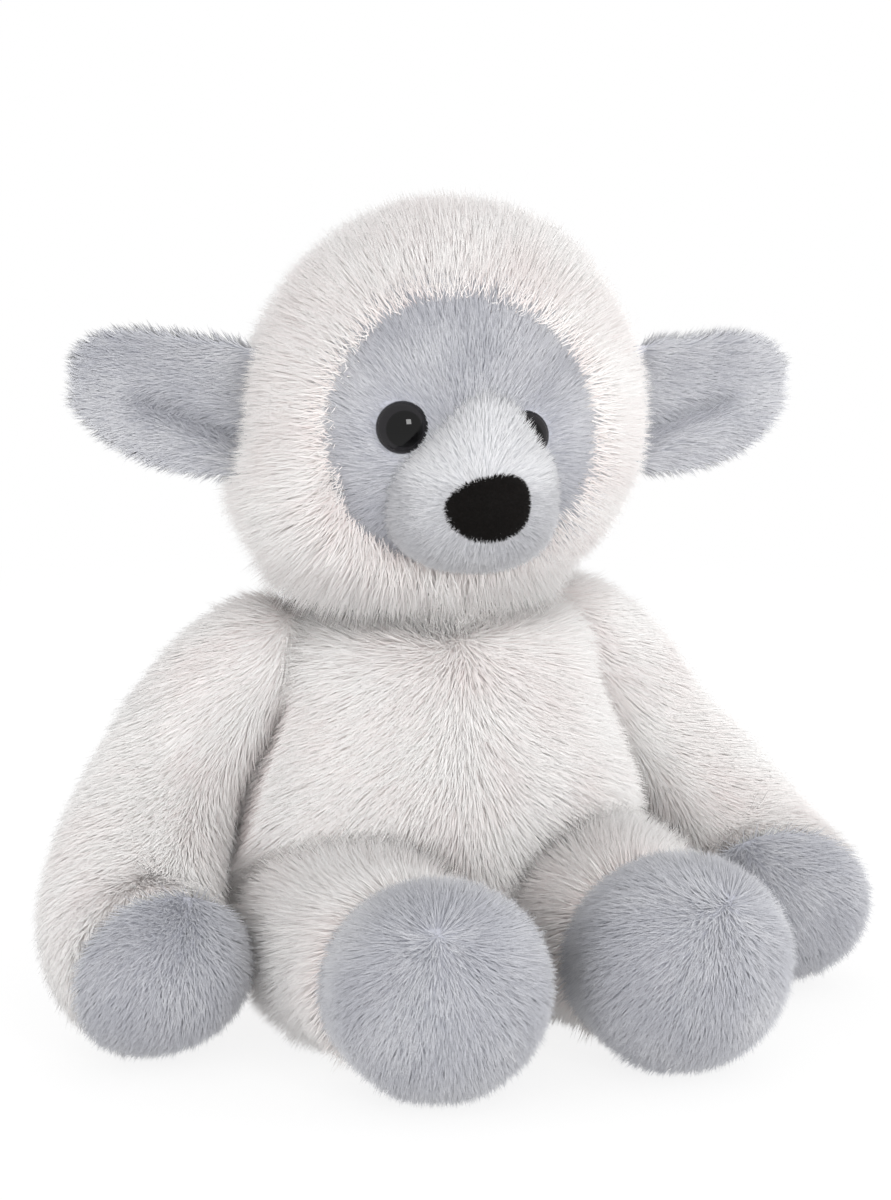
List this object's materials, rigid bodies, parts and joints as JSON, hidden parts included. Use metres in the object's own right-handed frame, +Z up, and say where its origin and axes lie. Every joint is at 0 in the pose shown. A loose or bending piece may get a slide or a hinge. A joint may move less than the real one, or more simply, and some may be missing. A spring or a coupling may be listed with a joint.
{
  "type": "plush sheep",
  "caption": "Seated stuffed sheep in long pile fabric with bean-weighted seat, domed eyes, folding ears, turning head and swinging arms and legs.",
  "frame": {"origin": "on the surface the toy sits on, in the middle of the seat's flat underside", "axes": "+X to the toy's own left, -Y the way it faces, +Z up"},
  "size_m": [0.2572, 0.1858, 0.2408],
  "materials": {
    "white_fur": "long soft white pile, about 8 mm",
    "grey_fur": "short soft cool grey pile, about 5 mm",
    "pale_grey_fur": "clipped pale grey pile, about 3 mm",
    "nose_pile": "dense black velour",
    "eye_gloss": "polished black",
    "washer_plastic": "natural moulded",
    "filling": "loose polyester fibre",
    "pellet_cloth": "plain woven calico"
  },
  "bodies": {
    "body": {"body": "white_fur", "pellet_bag": "pellet_cloth", "body_filling": "filling", "tail": "white_fur"},
    "neck": {"neck_filling": "filling"},
    "head": {"head_hood": "white_fur", "face_panel": "grey_fur", "muzzle": "pale_grey_fur", "nose": "nose_pile", "eye_left": "eye_gloss", "eye_right": "eye_gloss", "eye_washer_left": "washer_plastic", "eye_washer_right": "washer_plastic", "head_filling": "filling"},
    "ear_left": {"ear_front_left": "grey_fur", "ear_back_left": "grey_fur"},
    "ear_right": {"ear_front_right": "grey_fur", "ear_back_right": "grey_fur"},
    "arm_left": {"arm_left": "white_fur", "hand_left": "grey_fur", "arm_filling_left": "filling"},
    "arm_right": {"arm_right": "white_fur", "hand_right": "grey_fur", "arm_filling_right": "filling"},
    "leg_left": {"leg_left": "white_fur", "foot_left": "grey_fur", "leg_filling_left": "filling"},
    "leg_right": {"leg_right": "white_fur", "foot_right": "grey_fur", "leg_filling_right": "filling"}
  },
  "joints": [
    {"name": "neck_turn", "type": "hinge", "parent": "body", "child": "neck", "pos_m": [0, -0.024, 0.124], "axis": [0, 0, 1], "range_deg": [-24, 46], "stiffness_Nm_per_rad": 0.12},
    {"name": "head_nod", "type": "hinge", "parent": "neck", "child": "head", "pos_m": [0, -0.024, 0.124], "axis": [0.9803, -0.1905, -0.0523], "range_deg": [-12, 15], "stiffness_Nm_per_rad": 0.2},
    {"name": "ear_left_fold", "type": "hinge", "parent": "head", "child": "ear_left", "pos_m": [0.06032, -0.03165, 0.17339], "axis": [0.0514, -0.01, 0.9986], "range_deg": [-35, 15], "stiffness_Nm_per_rad": 0.01},
    {"name": "ear_right_fold", "type": "hinge", "parent": "head", "child": "ear_right", "pos_m": [-0.0534, -0.00955, 0.17946], "axis": [-0.0514, 0.01, -0.9986], "range_deg": [-35, 15], "stiffness_Nm_per_rad": 0.01},
    {"name": "arm_left_swing", "type": "hinge", "parent": "body", "child": "arm_left", "pos_m": [0.045, -0.006, 0.104], "axis": [-0.9272, 0, -0.3746], "range_deg": [-45, 65], "stiffness_Nm_per_rad": 0.08},
    {"name": "arm_right_swing", "type": "hinge", "parent": "body", "child": "arm_right", "pos_m": [-0.045, -0.006, 0.104], "axis": [-0.9272, 0, 0.3746], "range_deg": [-45, 65], "stiffness_Nm_per_rad": 0.08},
    {"name": "leg_left_swing", "type": "hinge", "parent": "body", "child": "leg_left", "pos_m": [0.037, -0.042, 0.0275], "axis": [-1, 0, 0], "range_deg": [-70, 6], "stiffness_Nm_per_rad": 0.15},
    {"name": "leg_right_swing", "type": "hinge", "parent": "body", "child": "leg_right", "pos_m": [-0.037, -0.042, 0.0275], "axis": [-1, 0, 0], "range_deg": [-70, 6], "stiffness_Nm_per_rad": 0.15}
  ]
}
